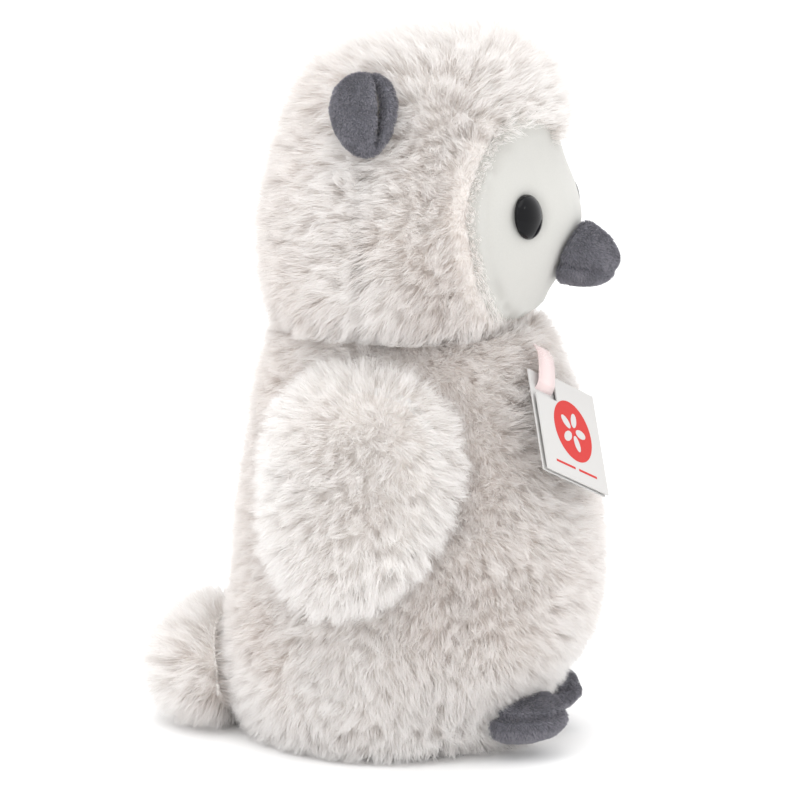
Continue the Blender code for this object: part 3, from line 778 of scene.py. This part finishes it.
def from_bmesh(name, bm, looks, body, smooth=False):
    """The bmesh as an object that rides on a body."""
    mesh = bpy.data.meshes.new(name)
    bm.to_mesh(mesh)
    bm.free()
    if smooth:
        mesh.shade_smooth()
        mesh.set_sharp_from_angle(angle=math.radians(50))
    mesh.materials.append(looks)
    obj = bpy.data.objects.new(name, mesh)
    bpy.context.scene.collection.objects.link(obj)
    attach(obj, body)
    return obj


def lathe(name, profile, segments, place, looks, body):
    """A profile of radii and heights turned about the place's z axis. Its last point is on the axis."""
    bm = bmesh.new()
    rings = []
    for radius, height in profile:
        if radius < 1e-6:
            rings.append([bm.verts.new(place @ Vector((0, 0, height)))])
            continue
        ring = []
        for i in range(segments):
            angle = math.tau * i / segments
            point = Vector((radius * math.cos(angle), radius * math.sin(angle), height))
            ring.append(bm.verts.new(place @ point))
        rings.append(ring)
    bm.faces.new(list(reversed(rings[0])))
    for low, high in zip(rings, rings[1:]):
        for i in range(segments):
            a, b = low[i - 1], low[i]
            if len(high) == 1:
                bm.faces.new((a, b, high[0]))
            else:
                bm.faces.new((a, b, high[i], high[i - 1]))
    return from_bmesh(name, bm, looks, body, smooth=True)


def short_pile(tone, length=0.0012, lean=0.8):
    """The grey plush's pile: short, swirled and combed down and forward."""

    def lengths(points, normals):
        return np.full(len(points), length)

    def comb(points, normals):
        way = down_along(normals) + flat_to(normals, np.broadcast_to((0.0, -0.6, 0.0), normals.shape))
        swirl = np.cross(normals, way) * (ripples(points, 0.007, 4) * 0.9)[:, None]
        return (unit(way) + swirl) * lean

    def tones(points, normals):
        return tone + 0.5 * ripples(points, 0.0045, 9)

    habit = {"width": 0.00018, "clump": 0.0012, "pull": 0.2, "stray": 0.2, "clump_stray": 0.2, "arch": 0.4}
    return Pile(11, lengths, comb, tones, fit=above_floor, **habit)


def make_beak(looks):
    centre = np.array((0, AXIS_Y - 0.0520, 0.1575))
    skin = hull(("beak_upper", "beak_lower", "beak_stuffing"), centre, 6, 22)
    forward = np.clip(AXIS_Y - 0.0485 - skin.points[:, 1], 0, None)
    seam = 0.1592 - 0.0108 * math.sin(math.radians(18)) - 0.22 * forward
    crease = bump(skin.points[:, 2] - seam, 0.0011)
    skin = skin.moved(-0.0002 - 0.0004 * crease)
    obj = add_surface("beak_skin", skin, looks["grey_skin"], "toy")
    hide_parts("beak_upper", "beak_lower")
    grown = grow("beak_pile", skin, short_pile(0.45), looks["grey_pile"], "toy", 31)


def make_ears(looks):
    for seed, word in ((41, "right"), (42, "left")):
        skin = remeshed((f"ear_outer_{word}", f"ear_lining_{word}"), 0.00055, 14)
        obj = add_surface(f"ear_skin_{word}", skin, looks["grey_skin"], "toy")
        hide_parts(f"ear_outer_{word}", f"ear_lining_{word}")
        grown = grow(f"ear_pile_{word}", skin, short_pile(0.55, 0.0011), looks["grey_pile"], "toy", seed)


def foot_tone(points, normals):
    """Paler on the sole, under the seam."""
    sole = ease((0.0115 - points[:, 2]) / 0.002)
    return 0.38 + 0.55 * sole + 0.4 * ripples(points, 0.0045, 9)


def make_feet(looks):
    for side, word in ((-1, "right"), (1, "left")):
        low, high = (np.array(corner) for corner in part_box(f"foot_sole_{word}"))
        centre = (low + high) / 2 + np.array((0, -0.001, 0.003))
        names = (f"foot_upper_{word}", f"foot_sole_{word}", f"foot_stuffing_{word}")
        skin = hull(names, centre, 6, 5)
        seam = bump(skin.points[:, 2] - (0.0125 + 0.0092 * math.sin(math.radians(14))), 0.0010)
        skin = skin.moved(-0.0009 - 0.0006 * seam)
        obj = add_surface(f"foot_skin_{word}", skin, looks["grey_skin"], "toy")
        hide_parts(f"foot_upper_{word}", f"foot_sole_{word}")
        pile = short_pile(0.5, 0.0013)
        pile.tone = foot_tone
        grown = grow(f"foot_pile_{word}", skin, pile, looks["grey_pile"], "toy", 51 + (side > 0))


def make_tail(looks):
    skin = hull(("tail_upper", "tail_lower", "tail_stuffing"), TAIL_CENTRE, 6, 8)
    skin = skin.moved(-UNDER_TAIL_PILE)
    skin.points[:, 2] = np.maximum(skin.points[:, 2], 0.0014)
    skin.refresh()
    obj = add_surface("tail_skin", skin, looks["skin"], "toy")
    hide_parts("tail_upper", "tail_lower")

    def length(points, normals):
        return np.full(len(points), TAIL_PILE)

    def comb(points, normals):
        back = flat_to(normals, np.broadcast_to((0.0, 1.0, 0.0), normals.shape))
        return back * 0.25 + down_along(normals) * 0.1

    def tone(points, normals):
        return 0.2 + 0.3 * ripples(points, 0.012, 12)

    def share(points, normals):
        return ease((points[:, 2] - 0.0022) / 0.002)

    pile = Pile(PER_MM2, length, comb, tone, share=share, fit=above_floor)
    grown = grow("tail_pile", skin, pile, looks["pile"], "toy", 61)


def wing_surface(side, word):
    """A closed skin of two sheets, which follow the CAD layers seen from the side, and a rim."""
    tree = BVHTree.FromPolygons(
        *node_mesh((f"wing_outer_{word}", f"wing_inner_{word}", f"wing_wadding_{word}"))
    )
    rounds, rows = WING_ROUNDS, WING_ROWS
    outer_eye, inward_way = Vector((side * 0.2, 0, 0)), Vector((-side, 0, 0))
    grid = np.zeros((rows + 1, rounds, 2, 3))
    for j in range(rounds):
        angle = math.tau * j / rounds
        way = Vector((0, math.sin(angle), math.cos(angle)))
        near, far = 0.0, 0.06
        for _ in range(16):
            middle = (near + far) / 2
            start = Vector(WING_MIDDLE) + way * middle
            hit = tree.ray_cast(start + outer_eye, inward_way)
            near, far = (middle, far) if hit[0] else (near, middle)
        for i in range(rows + 1):
            share = math.sin(math.pi / 2 * i / rows) * 0.985
            start = Vector(WING_MIDDLE) + way * near * share
            high = tree.ray_cast(start + outer_eye, inward_way)[0]
            low = tree.ray_cast(start, Vector((side, 0, 0)))[0]
            grid[i, j, 0], grid[i, j, 1] = high, low
    thick = np.abs(grid[:, :, 0, 0] - grid[:, :, 1, 0])
    sunk = np.minimum(0.0046, 0.62 * thick)
    grid[:, :, 0, 0] -= side * sunk
    grid[:, :, 1, 0] += side * np.minimum(0.0008, 0.2 * thick)
    inward = WING_MIDDLE - grid[-1, :, 0]
    inward[:, 0] = 0
    for layer in (0, 1):
        edge = ease(np.linspace(0, 1, rows + 1) ** 2)[:, None, None]
        grid[:, :, layer] += unit(inward)[None] * 0.0052 * edge
    faces = []
    sheet = grid.transpose(2, 0, 1, 3)
    points = np.concatenate([sheet[0].reshape(-1, 3), sheet[1].reshape(-1, 3)])
    size = (rows + 1) * rounds
    for i in range(rows):
        for j in range(rounds):
            k = (j + 1) % rounds
            a, b, c, d = i * rounds + j, (i + 1) * rounds + j, (i + 1) * rounds + k, i * rounds + k
            for quad in ((a, b, c, d), (d + size, c + size, b + size, a + size)):
                quad = quad if side < 0 else quad[::-1]
                faces += [(quad[0], quad[1], quad[2]), (quad[0], quad[2], quad[3])]
    for j in range(rounds):
        k = (j + 1) % rounds
        a, b = rows * rounds + j, rows * rounds + k
        quad = (b, a, a + size, b + size)
        quad = quad if side > 0 else quad[::-1]
        faces += [(quad[0], quad[1], quad[2]), (quad[0], quad[2], quad[3])]
    faces = np.array(faces)
    same = np.concatenate([np.zeros(rounds, int), np.arange(rounds, size)])
    same = np.concatenate([same, same + size])
    faces = same[faces]
    distinct = (faces != np.roll(faces, -1, axis=1)).all(axis=1)
    faces = faces[distinct]
    used, index = np.unique(faces, return_inverse=True)
    index = index.reshape(-1, 3)
    skin = Surface(relaxed(points[used], index, 4), index)
    if np.mean(skin.normals[: len(skin.points) // 3, 0] * side) < 0:
        skin = Surface(skin.points, skin.faces[:, ::-1])
    return skin


def make_wing(side, word, looks):
    """A flat stuffed wing, its pile and its filling."""
    skin = wing_surface(side, word)
    obj = add_surface(f"wing_skin_{word}", skin, looks["skin"], None)
    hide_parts(f"wing_outer_{word}", f"wing_inner_{word}")

    def outer(normals):
        return ease((normals[:, 0] * side + 0.35) / 0.5)

    def length(points, normals):
        return 0.0020 + 0.0072 * outer(normals)

    def comb(points, normals):
        outward = from_point(points, normals, WING_MIDDLE + np.array((side * 0.05, 0, 0.012)))
        reach = wing_reach(points)[:, None]
        return down_along(normals) * 0.22 + outward * (0.05 + 0.25 * reach)

    def tone(points, normals):
        reach = wing_reach(points)
        return 0.22 - 0.20 * ease((reach - 0.25) / 0.5) + 0.22 * ripples(points, 0.014, 15)

    def share(points, normals):
        return 0.25 + 0.75 * outer(normals)

    pile = Pile(PER_MM2, length, comb, tone, share=share, fit=above_floor)
    grown = grow(f"wing_pile_{word}", skin, pile, looks["pile"], None, 71 + (side > 0))
    points, faces = node_mesh((f"wing_wadding_{word}",))
    points = [p[:] for p in points]
    filling = add_mesh(f"wing_filling_{word}", points, faces, looks["filling"], None)
    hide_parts(f"wing_wadding_{word}")
    for piece in (obj, grown, filling):
        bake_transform(piece)


def plate(name, outline, low, high, place, looks, body):
    """A flat piece with the outline, between two heights over the place's xy plane."""
    bm = bmesh.new()
    rings = [[bm.verts.new(place @ Vector((x, y, z))) for x, y in outline] for z in (low, high)]
    bm.faces.new(rings[0][::-1])
    bm.faces.new(rings[1])
    for i in range(len(outline)):
        bm.faces.new((rings[0][i - 1], rings[0][i], rings[1][i], rings[1][i - 1]))
    bmesh.ops.recalc_face_normals(bm, faces=bm.faces)
    return from_bmesh(name, bm, looks, body)


def make_tag(looks):
    """A folded card on a ribbon. Its front leaf carries a plain emblem: a disc, five petals and two bars."""
    corner, right, down, front, _, _ = tag_frame()
    place = Matrix.Translation(corner) @ Matrix((right, down, front)).transposed().to_4x4()
    side = TAG_SIDE
    square = ((0, 0), (side, 0), (side, side), (0, side))
    back = plate("tag_leaf_back", square, 0, TAG_THICK, place, looks["card"], "hang_tag")
    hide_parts("tag_back_leaf")
    low = TAG_THICK + TAG_GAP
    fold, notch_x, notch_y = 0.0003, TAG_SLOT_IN + RIBBON_HALF + 0.0011, TAG_SLOT_DOWN + 0.0022
    cover = ((fold, notch_y), (notch_x, notch_y), (notch_x, 0), (side, 0), (side, side), (fold, side))
    leaf = plate("tag_leaf_front", cover, low, low + TAG_THICK, place, looks["card"], "tag_cover")
    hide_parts("tag_front_leaf")

    top = low + TAG_THICK
    raised = top + PRINT_THICK
    disc = []
    for a in np.linspace(0, math.tau, 73)[:-1]:
        disc.append((PRINT_X + PRINT_RADIUS * math.cos(a), PRINT_Y + PRINT_RADIUS * math.sin(a)))
    plate("tag_print_disc", disc, top, raised, place, looks["red"], "tag_cover")
    for k in range(PETALS):
        turn = math.tau * k / PETALS
        outline = []
        for a in np.linspace(0, math.tau, 25)[:-1]:
            x, y = PETAL_LONG * math.cos(a) + PETAL_OUT, PETAL_WIDE * math.sin(a)
            outline.append((PRINT_X + x * math.cos(turn) - y * math.sin(turn),
                            PRINT_Y + x * math.sin(turn) + y * math.cos(turn)))
        high = top + 2 * PRINT_THICK
        plate(f"tag_print_petal_{k}", outline, raised, high, place, looks["card"], "tag_cover")
    upper, lower = 0.0296, 0.0304
    for k, (start, end) in enumerate(((0.006, 0.0165), (0.0185, 0.0285))):
        bar = ((start, upper), (end, upper), (end, lower), (start, lower))
        plate(f"tag_print_bar_{k}", bar, top, raised, place, looks["red"], "tag_cover")
    make_ribbon(looks)


def make_ribbon(looks):
    """A flat strip from the neck's seam down to the tag's slot."""
    _, right, down, front, anchor, slot = tag_frame()
    middle = [
        anchor,
        anchor + Vector((-0.0030, -0.0024, -0.0026)),
        slot + front * 0.0026 - down * 0.0035,
        slot + front * 0.0016 - down * 0.0012,
        slot + front * 0.0003,
    ]
    half, thin, rows = RIBBON_HALF, RIBBON_THIN, RIBBON_ROWS
    points, faces = [], []
    for i in range(rows + 1):
        t = i / rows * (len(middle) - 1)
        p, q = curve_point(middle, t), curve_point(middle, t + 0.05)
        normal = right.cross((q - p).normalized()).normalized()
        for x, h in ((-half, -thin), (half, -thin), (half, thin), (-half, thin)):
            points.append(p + right * x + normal * h)
    for i in range(rows):
        for j in range(4):
            a, b = i * 4 + j, i * 4 + (j + 1) % 4
            faces.append((a, b, b + 4, a + 4))
    faces += [(3, 2, 1, 0), tuple(rows * 4 + j for j in range(4))]
    points = [p[:] for p in points]
    obj = add_mesh("tag_ribbon_strip", points, faces, looks["ribbon"], "hang_tag", smooth=False)
    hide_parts("tag_ribbon")


def curve_point(line, t):
    """The point at t on a smooth curve through the line's points, which are at 0, 1, 2 and so on."""
    k = min(int(t), len(line) - 2)
    t = t - k
    a, b = line[max(k - 1, 0)], line[k]
    c, d = line[k + 1], line[min(k + 2, len(line) - 1)]
    return 0.5 * (2 * b + (c - a) * t + (2 * a - 5 * b + 4 * c - d) * t**2 + (3 * b - a - 3 * c + d) * t**3)


def make_looks():
    looks = {}
    looks["skin"] = cloth_look("plush_backing", (0.90, 0.86, 0.83), (0.95, 0.925, 0.905), 260)
    # The long pile's strands are darker at the root: painted shade deep in the pile.
    looks["pile"] = pile_look(
        "long_pile_strands",
        ((0.0, (0.88, 0.86, 0.84)), (0.45, (0.94, 0.925, 0.915)), (1.0, (0.97, 0.965, 0.96))),
        ((0.0, (0.70, 0.62, 0.57)), (0.50, (0.85, 0.81, 0.785)), (1.0, (0.925, 0.905, 0.89))),
    )
    looks["velour"] = cloth_look(
        "face_velour_cloth", (0.495, 0.490, 0.464), (0.520, 0.514, 0.488), 2400, sheen=0.3, bump_depth=0.0001
    )
    looks["grey_skin"] = cloth_look("grey_backing", (0.11, 0.11, 0.13), (0.16, 0.16, 0.185), 900)
    # The grey plush strands are darker at the root: painted shade deep in the pile.
    looks["grey_pile"] = pile_look(
        "grey_plush_strands",
        ((0.0, (0.13, 0.13, 0.15)), (1.0, (0.22, 0.215, 0.245))),
        ((0.0, (0.20, 0.195, 0.225)), (1.0, (0.43, 0.42, 0.465))),
        sheen=0.35, translucency=0.3,
    )
    looks["eye"], eye, _ = new_look("eye_gloss", (0.004, 0.004, 0.005), 0.04)
    eye.inputs["Specular IOR Level"].default_value = 0.16
    looks["card"], card, _ = new_look("tag_card_stock", (0.54, 0.53, 0.52), 0.6)
    looks["red"], ink, _ = new_look("tag_red_ink", (0.52, 0.040, 0.036), 0.6)
    for shader in (card, ink):
        shader.inputs["Specular IOR Level"].default_value = 0.15
    looks["ribbon"], ribbon, _ = new_look("ribbon_sheer_cloth", (0.86, 0.70, 0.69), 0.5, 0.3)
    ribbon.inputs["Alpha"].default_value = 0.75
    looks["filling"] = cloth_look("polyester_filling", (0.80, 0.80, 0.79), (0.88, 0.88, 0.88), 180)
    looks["base"] = cloth_look("base_cloth", (0.58, 0.53, 0.50), (0.66, 0.62, 0.59), 700)
    looks["bag"] = cloth_look("bag_cloth", (0.52, 0.50, 0.47), (0.62, 0.60, 0.57), 1200)
    looks["washer"] = cloth_look("washer_moulding", (0.55, 0.55, 0.53), (0.60, 0.60, 0.58), 300, 0.4, 0.0)
    return looks


def main():
    make_stage()
    looks = make_looks()
    make_body(looks)
    make_head(looks)
    make_eyes(looks)
    make_beak(looks)
    make_ears(looks)
    make_feet(looks)
    make_tail(looks)
    for side, word in ((-1, "right"), (1, "left")):
        make_wing(side, word, looks)
    make_tag(looks)
    fills = {n: looks["filling"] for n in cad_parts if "stuffing" in n}
    washers = {n: looks["washer"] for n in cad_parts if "washer" in n}
    paint_cad({**fills, **washers, "pellet_bag": looks["bag"]})


main()
